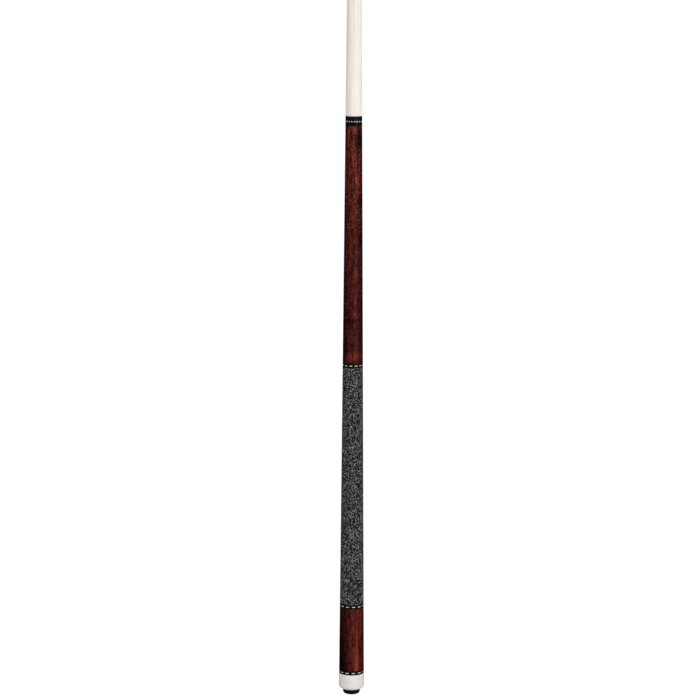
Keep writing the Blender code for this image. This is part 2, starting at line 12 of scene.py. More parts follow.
import bmesh
import bpy
from mathutils import Matrix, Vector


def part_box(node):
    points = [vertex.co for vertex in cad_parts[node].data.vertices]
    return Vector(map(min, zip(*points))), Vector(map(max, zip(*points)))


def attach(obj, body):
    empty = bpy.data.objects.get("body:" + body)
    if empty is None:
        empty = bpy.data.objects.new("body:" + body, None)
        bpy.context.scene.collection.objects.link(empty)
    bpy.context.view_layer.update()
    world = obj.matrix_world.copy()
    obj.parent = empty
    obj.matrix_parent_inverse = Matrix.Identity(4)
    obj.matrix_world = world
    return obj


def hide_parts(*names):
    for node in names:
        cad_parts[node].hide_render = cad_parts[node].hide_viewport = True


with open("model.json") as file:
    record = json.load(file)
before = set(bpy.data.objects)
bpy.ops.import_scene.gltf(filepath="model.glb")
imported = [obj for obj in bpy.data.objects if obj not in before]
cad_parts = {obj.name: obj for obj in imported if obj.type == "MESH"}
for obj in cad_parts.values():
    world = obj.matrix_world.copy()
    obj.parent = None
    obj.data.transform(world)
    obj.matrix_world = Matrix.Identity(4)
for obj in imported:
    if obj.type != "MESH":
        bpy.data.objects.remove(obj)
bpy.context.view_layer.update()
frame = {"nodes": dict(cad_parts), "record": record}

MM = 0.001
nodes = frame["nodes"]
scene = bpy.context.scene

# %% [markdown]
# ## Camera, floor and light
# A cue is long and thin, so a long lens from about three metres away keeps its sides straight. The
# camera stands a little above the middle of the cue and looks down at it, and it leans by a
# quarter of a degree.

# %% Camera
CAMERA_PLACE = (-0.0036, -3.15, 0.968)
CAMERA_LENS = 130.6
CAMERA_PITCH = 9.40
CAMERA_ROLL = 0.235

camera = bpy.data.objects.new("camera", bpy.data.cameras.new("camera"))
camera.data.lens = CAMERA_LENS
tilt = Matrix.Rotation(math.radians(90.0 - CAMERA_PITCH), 4, "X")
lean = Matrix.Rotation(math.radians(CAMERA_ROLL), 4, "Z")
camera.matrix_world = Matrix.Translation(CAMERA_PLACE) @ tilt @ lean
scene.collection.objects.link(camera)
scene.camera = camera
scene.view_settings.view_transform = "Standard"
print(f"camera {abs(CAMERA_PLACE[1]):.2f} m away with a {CAMERA_LENS:.0f} mm lens")

# %% [markdown]
# The studio is plain and pale. The floor is mostly a soft glow of its own, so it stays even and
# nearly white, with a small share of ordinary matt white that lets the cue cast a faint shadow
# where it stands. The floor doesn't light the cue and isn't mirrored in it: the world round it
# does that, as a dim, even grey.

# %% World and floor
SKY_SEEN = 1.0
SKY_LIGHT = 0.60
SKY_MIRRORED = 0.02
FLOOR_HALF = 40.0
FLOOR_GLOW = 1.10
FLOOR_MATT_SHARE = 0.12

world = bpy.data.worlds.new("studio")
world.use_nodes = True
scene.world = world
sky = world.node_tree
rays = sky.nodes.new("ShaderNodeLightPath")
strength = None
for ray, value in (("Is Glossy Ray", SKY_MIRRORED), ("Is Camera Ray", SKY_SEEN)):
    choice = sky.nodes.new("ShaderNodeMapRange")
    choice.inputs["To Min"].default_value = SKY_LIGHT
    choice.inputs["To Max"].default_value = value
    sky.links.new(rays.outputs[ray], choice.inputs["Value"])
    if strength:
        sky.links.new(strength, choice.inputs["To Min"])
    strength = choice.outputs["Result"]
sky.links.new(strength, sky.nodes["Background"].inputs["Strength"])
sky.nodes["Background"].inputs["Color"].default_value = (1.0, 1.0, 1.0, 1.0)

floor_mesh = bpy.data.meshes.new("studio_floor")
corners = [(-FLOOR_HALF, -FLOOR_HALF, 0.0), (FLOOR_HALF, -FLOOR_HALF, 0.0)]
corners += [(FLOOR_HALF, FLOOR_HALF, 0.0), (-FLOOR_HALF, FLOOR_HALF, 0.0)]
floor_mesh.from_pydata(corners, [], [(0, 1, 2, 3)])
floor = bpy.data.objects.new("studio_floor", floor_mesh)
scene.collection.objects.link(floor)
floor.visible_diffuse = False
floor.visible_glossy = False
pale = bpy.data.materials.new("pale_floor")
pale.use_nodes = True
tree = pale.node_tree
tree.nodes.remove(tree.nodes["Principled BSDF"])
glow = tree.nodes.new("ShaderNodeEmission")
glow.inputs["Strength"].default_value = FLOOR_GLOW
matt = tree.nodes.new("ShaderNodeBsdfDiffuse")
both = tree.nodes.new("ShaderNodeMixShader")
both.inputs["Fac"].default_value = FLOOR_MATT_SHARE
tree.links.new(glow.outputs[0], both.inputs[1])
tree.links.new(matt.outputs[0], both.inputs[2])
tree.links.new(both.outputs[0], tree.nodes["Material Output"].inputs["Surface"])
floor_mesh.materials.append(pale)
print("floor and world made")

# %% [markdown]
# One tall soft box in front and to the right gives the broad, gentle highlight that runs down a
# lacquered cue. It is the only thing mirrored in the cue, apart from a trace of sky. Two weaker
# ones, at the left and behind, keep the other sides readable without a bright rim.

# %% Lights
LIGHTS = {
    "key": {"around": 38.0, "away": 3.2, "height": 1.3, "wide": 1.8, "power": 64.0},
    "fill": {"around": -50.0, "away": 3.6, "height": 1.2, "wide": 2.4, "power": 32.0},
    "back": {"around": 165.0, "away": 3.4, "height": 1.6, "wide": 1.4, "power": 26.0},
}
LIGHT_AIM = 0.75
LIGHT_TALL = 2.4

for name, spec in LIGHTS.items():
    light = bpy.data.lights.new(name, "AREA")
    light.shape = "RECTANGLE"
    light.size = spec["wide"]
    light.size_y = LIGHT_TALL
    light.energy = spec["power"]
    lamp = bpy.data.objects.new(name, light)
    around = math.radians(spec["around"])
    x = spec["away"] * math.sin(around)
    y = -spec["away"] * math.cos(around)
    lamp.location = (x, y, spec["height"])
    down = math.atan2(spec["height"] - LIGHT_AIM, spec["away"])
    lamp.rotation_euler = (math.radians(90.0) - down, 0.0, around)
    lamp.visible_glossy = name == "key"
    scene.collection.objects.link(lamp)
print(f"{len(LIGHTS)} soft boxes")

# %% [markdown]
# ## Reading a turned outline
# Nearly every piece of a cue comes off a lathe, so half of its section says all about its shape.
# Each CAD node has vertices in the half-plane where y is 0 and x is positive. Walking along the
# edges between them gives the outline as (radius, height) points, bores and tenons included, and
# no size is typed a second time.

# %% Trace the outline of a node
TOUCH = 1e-6


def outline_of(node):
    """(radius, height) points along the skin of a turned node, and whether they close."""
    shape = bmesh.new()
    shape.from_mesh(nodes[node].data)
    bmesh.ops.remove_doubles(shape, verts=shape.verts, dist=TOUCH)
    near = {v: [] for v in shape.verts if abs(v.co.y) < TOUCH and v.co.x > -TOUCH}
    for edge in shape.edges:
        one, two = edge.verts
        if one in near and two in near:
            near[one].append(two)
            near[two].append(one)
    # a flat ring may have no edge between its two circles, so loose ends at one height are joined
    loose = [v for v in near if len(near[v]) == 1 and v.co.x > TOUCH]
    loose.sort(key=lambda v: (round(v.co.z / TOUCH), v.co.x))
    for one, two in zip(loose, loose[1:]):
        level = abs(one.co.z - two.co.z) < TOUCH
        if level and len(near[one]) == 1 and len(near[two]) == 1:
            near[one].append(two)
            near[two].append(one)
    ends = [v for v in near if len(near[v]) == 1]
    here = min(ends or near, key=lambda v: (v.co.z, v.co.x))
    walked = [here]
    while True:
        ahead = [v for v in near[here] if v not in walked]
        if not ahead:
            break
        here = ahead[0]
        walked.append(here)
    outline = [(v.co.x, v.co.z) for v in walked]
    shape.free()
    if not ends:
        return outline, True
    # an open outline ends in a flat disc, whose middle is on the axis
    if outline[0][0] > TOUCH:
        outline.insert(0, (0.0, outline[0][1]))
    if outline[-1][0] > TOUCH:
        outline.append((0.0, outline[-1][1]))
    return outline, False


print("forearm outline:", len(outline_of("forearm")[0]), "points")

# %% [markdown]
# The CAD pieces stop 0.3 mm short of one another, which simulation needs and no cue maker would
# accept. Each finished piece is stretched up to the next one, all but a hairline, so the joints
# show as the thin lines that they are on a lacquered cue. Then the corners are rounded a little,
# because a real edge always catches light.

# %% Close the gaps, round the corners, divide the long runs
CAD_GAP = 0.3 * MM
SEAM = 0.03 * MM
EDGE = 0.10 * MM
EDGE_STEPS = 3
MOST_OF_A_RUN = 0.4
LONG_RUN = 15.0 * MM
SHARP_TURN = math.cos(math.radians(20.0))

levels = [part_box(node)[0].z for node in nodes]
levels.append(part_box("shaft_collar")[1].z + CAD_GAP)


def raised(height):
    """The height of a point, moved up to just under the next piece if it lies a gap below one."""
    for level in levels:
        if TOUCH < level - height < CAD_GAP + TOUCH:
            return level - SEAM
    return height


def neighbours(outline, closed):
    """Each point with the ones before and after it, or None past the ends of an open outline."""
    before = [outline[-1] if closed else None] + outline[:-1]
    after = outline[1:] + [outline[0] if closed else None]
    return zip(before, outline, after)


def toward(here, there, far):
    """A point on the way from here to there, far away but never past most of the run."""
    share = min(far / math.dist(here, there), MOST_OF_A_RUN)
    return tuple(a + (b - a) * share for a, b in zip(here, there))


def softened(outline, closed, size):
    """The outline with its sharp corners turned into short curves."""
    points = []
    for before, here, after in neighbours(outline, closed):
        if before is None or after is None:
            points.append(here)
            continue
        one = [h - b for h, b in zip(here, before)]
        two = [a - h for a, h in zip(after, here)]
        turn = sum(a * b for a, b in zip(one, two)) / (math.hypot(*one) * math.hypot(*two))
        if turn > SHARP_TURN:
            points.append(here)
            continue
        start = toward(here, before, size)
        end = toward(here, after, size)
        for step in range(EDGE_STEPS + 1):
            t = step / EDGE_STEPS
            points.append(
                tuple(
                    (1 - t) ** 2 * s + 2 * t * (1 - t) * h + t * t * e
                    for s, h, e in zip(start, here, end)
                )
            )
    return points


def divided(outline, closed):
    """The outline with points added along its long runs, which keeps the faces compact."""
    points = []
    for before, here, after in neighbours(outline, closed):
        points.append(here)
        if after is None:
            continue
        parts = math.ceil(math.dist(here, after) / LONG_RUN)
        for part in range(1, parts):
            points.append(
                tuple(a + (b - a) * part / parts for a, b in zip(here, after))
            )
    return points


def skin_outline(node, size=EDGE, lift=0.0):
    """The finished outline of a turned node, its top face moved up by lift."""
    outline, closed = outline_of(node)
    outline = [(radius, raised(height)) for radius, height in outline]
    top = max(height for _, height in outline)
    outline = [
        (radius, height + lift if height > top - TOUCH else height)
        for radius, height in outline
    ]
    return divided(softened(outline, closed, size), closed), closed


print("forearm skin:", len(skin_outline("forearm")[0]), "points")

# %% [markdown]
# Spinning an outline round the axis is what a lathe does, and bmesh has an operator for it. The
# seam of the spin and the poles are merged, the faces are turned outwards, and only real corners
# are left sharp in the shading.

# %% The lathe
SIDES = 96
WELD = 1e-7
CORNER = math.radians(40.0)


def keep_mesh(name, shape, material):
    """Turns a bmesh into a named object at the origin."""
    bmesh.ops.remove_doubles(shape, verts=shape.verts, dist=WELD)
    bmesh.ops.recalc_face_normals(shape, faces=shape.faces)
    mesh = bpy.data.meshes.new(name)
    shape.to_mesh(mesh)
    shape.free()
    mesh.shade_smooth()
    mesh.set_sharp_from_angle(angle=CORNER)
    mesh.materials.clear()
    mesh.materials.append(material)
    piece = bpy.data.objects.new(name, mesh)
    scene.collection.objects.link(piece)
    return piece


def spun(outline, closed):
    """Spins an outline round the axis into a closed skin, as a bmesh."""
    shape = bmesh.new()
    points = [shape.verts.new((radius, 0.0, height)) for radius, height in outline]
    edges = [shape.edges.new(pair) for pair in zip(points, points[1:])]
    if closed:
        edges.append(shape.edges.new((points[-1], points[0])))
    bmesh.ops.spin(
        shape,
        geom=points + edges,
        cent=(0.0, 0.0, 0.0),
        axis=(0.0, 0.0, 1.0),
        angle=math.tau,
        steps=SIDES,
        use_merge=True,
    )
    return shape


def turned(name, node, material, size=EDGE):
    """A finished skin for a turned CAD node."""
    return keep_mesh(name, spun(*skin_outline(node, size)), material)


print(f"lathe ready, {SIDES} sides")

# %% [markdown]
# ## Sums inside node trees
# Patterns and Geometry Nodes both need arithmetic. A small wrapper round an output socket lets it
# be written as an ordinary formula: every sign in the formula adds one Math node to the tree.

# %% Numbers in a node tree


def sums(tree, operation, *values):
    """Adds one Math node that works on numbers of the tree and plain ones."""
    node = tree.nodes.new("ShaderNodeMath")
    node.operation = operation
    for socket, value in zip(node.inputs, values):
        feed(tree, socket, value)
    return Number(tree, node.outputs[0])


def feed(tree, socket, value):
    """Gives a socket a link or a plain value."""
    if isinstance(value, Number):
        value = value.socket
    if isinstance(value, bpy.types.NodeSocket):
        tree.links.new(value, socket)
    else:
        socket.default_value = value


class Number:
    """A number that a node tree works out."""

    def __init__(self, tree, socket):
        self.tree = tree
        self.socket = socket

    def __add__(self, other):
        return sums(self.tree, "ADD", self, other)

    def __radd__(self, other):
        return sums(self.tree, "ADD", other, self)

    def __sub__(self, other):
        return sums(self.tree, "SUBTRACT", self, other)

    def __rsub__(self, other):
        return sums(self.tree, "SUBTRACT", other, self)

    def __mul__(self, other):
        return sums(self.tree, "MULTIPLY", self, other)

    def __rmul__(self, other):
        return sums(self.tree, "MULTIPLY", other, self)

    def __truediv__(self, other):
        return sums(self.tree, "DIVIDE", self, other)

    def function(self, operation, *others):
        return sums(self.tree, operation, self, *others)

    def clamped(self):
        return self.function("MAXIMUM", 0.0).function("MINIMUM", 1.0)


def between(low, high, share):
    """The value a share of the way from low to high."""
    return low + (high - low) * share


print("sums ready")

# %% [markdown]
# ## Geometry Nodes: a ring of dashes
# A stitch ring is a row of short, curved blocks let into black phenolic, 12 or 20 to the turn. One
# block is a cube whose points are moved to polar places, and Instance on Points sets it round the
# axis. The same tree makes the black fingers between the dashes, with another share of the turn.

# %% Start a geometry tree
INTEGER = "NodeSocketInt"
FLOAT = "NodeSocketFloat"
MATERIAL = "NodeSocketMaterial"


def geometry_tree(name, **kinds):
    """An empty geometry tree with named inputs, which are handed back as numbers."""
    tree = bpy.data.node_groups.new(name, "GeometryNodeTree")
    for label, kind in kinds.items():
        tree.interface.new_socket(label, in_out="INPUT", socket_type=kind)
    tree.interface.new_socket("Geometry", in_out="OUTPUT", socket_type="NodeSocketGeometry")
    given = tree.nodes.new("NodeGroupInput")
    return tree, {label: Number(tree, given.outputs[label]) for label in kinds}


def add(tree, kind, **inputs):
    """Adds a node and feeds its inputs. An underscore in an input's name stands for a space."""
    node = tree.nodes.new(kind)
    for label, value in inputs.items():
        feed(tree, node.inputs[label.replace("_", " ")], value)
    return node


def here_in(tree):
    """The x, y and z of each point."""
    position = add(tree, "GeometryNodeInputPosition").outputs[0]
    apart = add(tree, "ShaderNodeSeparateXYZ", Vector=position)
    return [Number(tree, socket) for socket in apart.outputs]


def polar(tree, mesh, radius, angle, height):
    """Moves each point to a radius, an angle and a height round the axis."""
    place = add(
        tree,
        "ShaderNodeCombineXYZ",
        X=radius * angle.function("COSINE"),
        Y=radius * angle.function("SINE"),
        Z=height,
    )
    moved = add(tree, "GeometryNodeSetPosition", Geometry=mesh, Position=place.outputs[0])
    return moved.outputs[0]


def finish_tree(tree, geometry, material):
    """Ends a tree in Realize Instances and Set Material."""
    real = add(tree, "GeometryNodeRealizeInstances", Geometry=geometry)
    painted = add(tree, "GeometryNodeSetMaterial", Geometry=real.outputs[0], Material=material)
    end = tree.nodes.new("NodeGroupOutput")
    tree.links.new(painted.outputs[0], end.inputs["Geometry"])
    return tree


print("geometry tree helpers ready")

# %% The ring of curved blocks
BLOCK_COLUMNS = 9


def block_ring_tree():
    """A tree that sets Count curved blocks round the axis."""
    tree, given = geometry_tree(
        "ring_of_blocks",
        Count=INTEGER,
        Inner=FLOAT,
        Outer=FLOAT,
        Low=FLOAT,
        High=FLOAT,
        Width=FLOAT,
        Start=FLOAT,
        Finish=MATERIAL,
    )
    cube = add(tree, "GeometryNodeMeshCube", Vertices_Y=BLOCK_COLUMNS)
    x, y, z = here_in(tree)
    radius = between(given["Inner"], given["Outer"], x + 0.5)
    # each block keeps its width in millimetres, so the angle is the width over the outer radius
    angle = y * given["Width"] / given["Outer"]
    height = between(given["Low"], given["High"], z + 0.5)
    block = polar(tree, cube.outputs["Mesh"], radius, angle, height)
    points = add(tree, "GeometryNodePoints", Count=given["Count"])
    index = Number(tree, add(tree, "GeometryNodeInputIndex").outputs[0])
    turn = given["Start"] + index * math.tau / given["Count"]
    euler = add(tree, "ShaderNodeCombineXYZ", Z=turn)
    rotation = add(tree, "FunctionNodeEulerToRotation", Euler=euler.outputs[0])
    ring = add(
        tree,
        "GeometryNodeInstanceOnPoints",
        Points=points.outputs[0],
        Instance=block,
        Rotation=rotation.outputs[0],
    )
    return finish_tree(tree, ring.outputs[0], given["Finish"])


block_ring = block_ring_tree()
print("block ring:", len(block_ring.nodes), "nodes")

# %% [markdown]
# ## Geometry Nodes: a helix
# The joint's threads and the wound linen are both a wall with a ridge that climbs one pitch a
# turn. A flat grid is rolled into a tube, and each column starts a little higher than the one
# before, so that after a full turn the seam meets the next turn. The ridge's section is a formula
# of how far a point is through its turn. The ridge fades at both ends and the wall is cut flat
# there.

# %% The helix


def helix_tree(name, profile):
    """A tree that makes a round wall with a ridge wound on it; profile is the ridge's section."""
    tree, given = geometry_tree(
        name,
        Columns=INTEGER,
        Rows=INTEGER,
        Pitch=FLOAT,
        Low=FLOAT,
        High=FLOAT,
        RadiusLow=FLOAT,
        RadiusHigh=FLOAT,
        Ridge=FLOAT,
        Fade=FLOAT,
        EndLevel=FLOAT,
        Finish=MATERIAL,
    )
    low, high, pitch = given["Low"], given["High"], given["Pitch"]
    turns = ((high - low) / pitch).function("CEIL") + 1.0
    grid = add(
        tree,
        "GeometryNodeMeshGrid",
        Vertices_X=given["Columns"] + 1.0,
        Vertices_Y=turns * given["Rows"] + 1.0,
    )
    x, y, _ = here_in(tree)
    around = x + 0.5
    along = (y + 0.5) * turns
    free_height = low + (along + around - 1.0) * pitch
    height = free_height.function("MAXIMUM", low).function("MINIMUM", high)
    rise = ((free_height - low) / given["Fade"]).clamped()
    fall = ((high - free_height) / given["Fade"]).clamped()
    ridge = between(given["EndLevel"], profile(along.function("FRACT")), rise * fall)
    wall = between(given["RadiusLow"], given["RadiusHigh"], (height - low) / (high - low))
    radius = wall + given["Ridge"] * ridge
    rolled = polar(tree, grid.outputs["Mesh"], radius, around * math.tau, height)
    merged = add(tree, "GeometryNodeMergeByDistance", Geometry=rolled, Distance=TOUCH)
    return finish_tree(tree, merged.outputs[0], given["Finish"])


def thread_profile(share):
    """A flat crest in the middle of the turn, with a straight flank on each side of it."""
    off_middle = (share - 0.5).function("ABSOLUTE")
    return 1.0 - ((off_middle - CREST_SHARE) / (FLANK_SHARE - CREST_SHARE)).clamped()


def yarn_profile(share):
    """A round back that drops to a sharp valley where two turns of yarn touch."""
    off_middle = (share - 0.5) * 2.0
    return (1.0 - off_middle * off_middle).function("MAXIMUM", 0.0).function("SQRT")


TURNS_PER_INCH = 18.0
THREAD_PITCH = 25.4 / TURNS_PER_INCH * MM
THREAD_DEPTH = 0.75 * MM
FLANK_SLOPE = math.tan(math.radians(30.0))
CREST_SHARE = 0.1 * MM / THREAD_PITCH
FLANK_SHARE = CREST_SHARE + THREAD_DEPTH * FLANK_SLOPE / THREAD_PITCH
thread_helix = helix_tree("thread_helix", thread_profile)
yarn_helix = helix_tree("yarn_helix", yarn_profile)
print("helices:", len(thread_helix.nodes), "and", len(yarn_helix.nodes), "nodes")

# %% [markdown]
# A tree is run on an empty mesh, and the result is kept as a plain mesh. The inputs go in by the
# identifiers of their sockets, before Blender works the modifier out for the first time.

# %% Run a tree and keep its mesh


def grown(tree, **settings):
    """The mesh that a geometry tree makes, as a bmesh."""
    sockets = {
        item.name: item.identifier
        for item in tree.interface.items_tree
        if item.in_out == "INPUT"
    }
    carrier = bpy.data.objects.new("carrier", bpy.data.meshes.new("carrier"))
    modifier = carrier.modifiers.new("Nodes", "NODES")
    modifier.node_group = tree
    for label, value in settings.items():
        modifier[sockets[label]] = value
    scene.collection.objects.link(carrier)
    result = carrier.evaluated_get(bpy.context.evaluated_depsgraph_get())
    mesh = bpy.data.meshes.new_from_object(result)
    bpy.data.objects.remove(carrier)
    shape = bmesh.new()
    shape.from_mesh(mesh)
    bpy.data.meshes.remove(mesh)
    return shape


def pull_rim(shape, height, path, cap=False):
    """Carries the open rim at a height through (radius, height) points, and may close it."""
    rim = [
        edge
        for edge in shape.edges
        if edge.is_boundary and all(abs(v.co.z - height) < TOUCH for v in edge.verts)
    ]
    for radius, level in path:
        made = bmesh.ops.extrude_edge_only(shape, edges=rim)["geom"]
        rim = [item for item in made if isinstance(item, bmesh.types.BMEdge)]
        for point in {v for edge in rim for v in edge.verts}:
            scale = radius / math.hypot(point.co.x, point.co.y)
            point.co = (point.co.x * scale, point.co.y * scale, level)
    if cap:
        bmesh.ops.holes_fill(shape, edges=rim, sides=0)


print("grown and pull_rim ready")

# %% [markdown]
# ## Finishes
# Each finish is one Principled shader with a few patterns in front of it. Patterns read Object
# coordinates in metres, so a noise scale of 1000 means features of about a millimetre. Stretching
# the coordinates along Z draws a pattern out into grain.

# %% The finish helper


class Finish:
    """A material that is put together one pattern at a time."""

    def __init__(self, name, **sockets):
        self.material = bpy.data.materials.new(name)
        self.material.use_nodes = True
        self.tree = self.material.node_tree
        self.shader = self.tree.nodes["Principled BSDF"]
        for label, value in sockets.items():
            self.shader.inputs[label.replace("_", " ")].default_value = value
        self.place = self.tree.nodes.new("ShaderNodeTexCoord").outputs["Object"]

    def stretched(self, across=1.0, along=1.0, shift=0.0):
        """Object coordinates, scaled across and along the cue's axis."""
        mapping = add(self.tree, "ShaderNodeMapping", Vector=self.place)
        mapping.inputs["Scale"].default_value = (across, across, along)
        mapping.inputs["Location"].default_value = (shift, 0.0, 0.0)
        return mapping.outputs[0]

    def noise(self, place, scale, detail=3.0, roughness=0.5, distortion=0.0):
        node = add(
            self.tree,
            "ShaderNodeTexNoise",
            Vector=place,
            Scale=scale,
            Detail=detail,
            Roughness=roughness,
            Distortion=distortion,
        )
        return Number(self.tree, node.outputs[0])

    def window(self, value, low, high):
        """0 below low, 1 above high, and a smooth step between them."""
        node = add(self.tree, "ShaderNodeMapRange", Value=value)
        node.interpolation_type = "SMOOTHSTEP"
        node.inputs["From Min"].default_value = low
        node.inputs["From Max"].default_value = high
        return Number(self.tree, node.outputs[0])

    def colours(self, value, *stops):
        """A colour ramp of (place, red, green, blue) stops."""
        node = add(self.tree, "ShaderNodeValToRGB", Fac=value)
        ramp = node.color_ramp
        while len(ramp.elements) < len(stops):
            ramp.elements.new(0.5)
        for element, (place, *colour) in zip(ramp.elements, stops):
            element.position = place
            element.color = (*colour, 1.0)
        return node.outputs[0]

    def mixed(self, share, one, two):
        """One colour laid over another. A plain colour is three numbers."""
        node = self.tree.nodes.new("ShaderNodeMix")
        node.data_type = "RGBA"
        feed(self.tree, node.inputs[0], share)
        for socket, colour in ((node.inputs[6], one), (node.inputs[7], two)):
            feed(self.tree, socket, (*colour, 1.0) if isinstance(colour, tuple) else colour)
        return node.outputs[2]

    def xyz(self):
        apart = add(self.tree, "ShaderNodeSeparateXYZ", Vector=self.place)
        return [Number(self.tree, socket) for socket in apart.outputs]

    def point(self, x, y):
        """A place in a flat pattern of its own."""
        return add(self.tree, "ShaderNodeCombineXYZ", X=x, Y=y).outputs[0]

    def colour(self, value):
        feed(self.tree, self.shader.inputs["Base Color"], value)

    def rough(self, low, high, value):
        """Roughness that runs from low to high with a 0 to 1 pattern."""
        feed(self.tree, self.shader.inputs["Roughness"], between(low, high, value))

    def bump(self, height, depth):
        """Fine relief of a given depth in metres, from a 0 to 1 pattern."""
        node = add(self.tree, "ShaderNodeBump", Height=height, Distance=depth)
        self.tree.links.new(node.outputs[0], self.shader.inputs["Normal"])


print("finish helper ready")

# %% [markdown]
# ** Stained maple.** The forearm and the sleeve are figured maple under a red-brown stain and a
# thin clear coat. Stain soaks in unevenly: soft clouds, a mottled figure, small flecks and
# straight grain are four noises of falling size, and the vessels of the wood are fine dark lines
# along it. The colour is painted lightest at its middle, a painted highlight, and darker at its
# flanks, painted shade, and it is darker toward its foot. The forearm has a few larger lighter and
# darker patches at listed places; the sleeve's two are painted shade down its left flank and a
# painted highlight right of its middle.

# %% Stained maple
STAIN = [
    (0.36, 0.007, 0.0014, 0.0011),
    (0.44, 0.030, 0.0040, 0.0026),
    (0.50, 0.080, 0.0102, 0.0060),
    (0.60, 0.225, 0.0370, 0.0190),
]
VESSEL_DARK = (0.008, 0.002, 0.0016)
# how far from the painted highlight the painted flank shade reaches
PAINTED_SHADE_REACH = 14.0 * MM
MARK_INSIDE = 0.35
MARK_OUTSIDE = 1.25


def with_marks(wood, tone, wobble, marks, top):
    """The tone with soft-edged patches added to it.

    A mark is (x, depth below top, half width, half height, change), the first four in millimetres.
    """
    x, _, height = wood.xyz()
    for middle, depth, wide, tall, change in marks:
        aside = (x - middle * MM) / (wide * MM)
        above = (height - (top - depth * MM)) / (tall * MM)
        far = (aside * aside + above * above).function("SQRT") + wobble
        tone = tone + (1.0 - wood.window(far, MARK_INSIDE, MARK_OUTSIDE)) * change
    return tone


def stained_maple(name, node, middle, painted_flank_shade, fall, calm, cloudy, speckle, marks):
    """Stained figured maple, with a painted highlight: it is lightest at x = middle.

    It is darker by painted_flank_shade at its sides, which is painted shade, and by fall at its
    foot, where calm is the share of the figure that is gone. cloudy and speckle are how strong the
    clouds and the figure are.
    """
    low, high = (corner.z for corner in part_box(node))
    wood = Finish(
        name,
        Coat_Weight=0.09,
        Coat_Roughness=0.40,
        Coat_IOR=1.5,
        Specular_IOR_Level=0.02,
    )
    clouds = wood.noise(wood.stretched(1.0, 0.5), 70.0, 2.0, 0.5, 0.6) - 0.5
    figure = wood.noise(wood.stretched(1.0, 0.8, 3.0), 430.0, 2.0, 0.7, 0.7) - 0.5
    flecks = wood.noise(wood.stretched(1.0, 0.65, 5.0), 850.0, 1.0, 0.6, 0.3) - 0.5
    grain = wood.noise(wood.stretched(1.0, 0.06, 7.0), 650.0, 2.0, 0.6) - 0.5
    x, _, height = wood.xyz()
    foot = 1.0 - wood.window(height, low, high)
    tone = figure * speckle + flecks * speckle * 0.8 + grain * 0.25
    tone = tone * (1.0 - foot * calm) + clouds * cloudy
    # painted shade: the colour darkens away from x = middle toward both flanks, so middle is a
    # painted highlight
    off_painted_highlight = ((x - middle) / PAINTED_SHADE_REACH).function("ABSOLUTE") + clouds * 0.8
    tone = tone - wood.window(off_painted_highlight, 0.10, 1.30) * painted_flank_shade
    wobble = clouds * 1.6 + figure * 1.2
    tone = with_marks(wood, tone - foot * fall, wobble, marks, high)
    stain = wood.colours(tone + 0.5, *STAIN)
    # vessels are fine dark lines along the grain, a few millimetres long
    vessels = wood.noise(wood.stretched(1.0, 0.07, 9.0), 2300.0, 2.0, 0.6)
    coarse = (1.0 - wood.window(grain, -0.16, -0.06)) * 0.5
    fine = (1.0 - wood.window(vessels, 0.36, 0.47)) * 0.45
    wood.colour(wood.mixed(coarse.function("MAXIMUM", fine), stain, VESSEL_DARK))
    wood.rough(0.50, 0.40, vessels)
    return wood.material


FOREARM_MARKS = [
    (6.6, 25.0, 6.2, 17.0, -0.20),
    (8.5, 100.0, 4.0, 8.0, -0.09),
    (9.0, 150.0, 3.0, 12.0, -0.08),
    (2.0, 251.0, 17.0, 3.4, -0.055),
    (-9.0, 280.0, 4.0, 8.0, -0.08),
    (0.0, 0.0, 20.0, 5.0, 0.11),
    (2.0, 10.0, 3.0, 12.0, 0.08),
    (4.0, 75.0, 2.6, 7.0, 0.08),
    (5.5, 95.0, 2.0, 5.0, 0.08),
    (3.5, 192.0, 2.6, 7.0, 0.06),
    (2.5, 226.0, 1.4, 8.0, 0.08),
    (3.0, 243.0, 2.2, 3.4, 0.07),
    (1.0, 297.0, 16.0, 8.0, 0.07),
]
# painted shade down the sleeve's left flank and a painted highlight right of its middle
SLEEVE_PAINTED_SHADE_AND_HIGHLIGHT = [(-13.0, 75.0, 5.0, 45.0, -0.11), (6.0, 75.0, 3.0, 60.0, 0.08)]

# the forearm's painted highlight is on its axis, with painted shade at both flanks
forearm_finish = stained_maple(
    "forearm_maple",
    "forearm",
    middle=0.0,
    painted_flank_shade=0.080,
    fall=0.045,
    calm=0.40,
    cloudy=0.15,
    speckle=0.42,
    marks=FOREARM_MARKS,
)
# the sleeve's painted highlight is 5 mm right of its axis, with painted shade at its flanks
sleeve_finish = stained_maple(
    "sleeve_maple",
    "butt_sleeve",
    middle=5.0 * MM,
    painted_flank_shade=0.105,
    fall=0.0,
    calm=0.0,
    cloudy=0.10,
    speckle=0.26,
    marks=SLEEVE_PAINTED_SHADE_AND_HIGHLIGHT,
)
print(forearm_finish.name, sleeve_finish.name)

# %% [markdown]
# **Pale maple.** The shaft is straight-grained, sanded and sealed: warm white, with faint lines
# that run its whole length, tiny pores, and a trace of blue chalk near the ferrule, where the
# chalk dust of play settles.

# %% Pale maple
CHALK_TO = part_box("ferrule")[0].z
CHALK_FROM = CHALK_TO - 60.0 * MM
PORE_BROWN = (0.52, 0.40, 0.26)
CHALK_BLUE = (0.42, 0.55, 0.68)


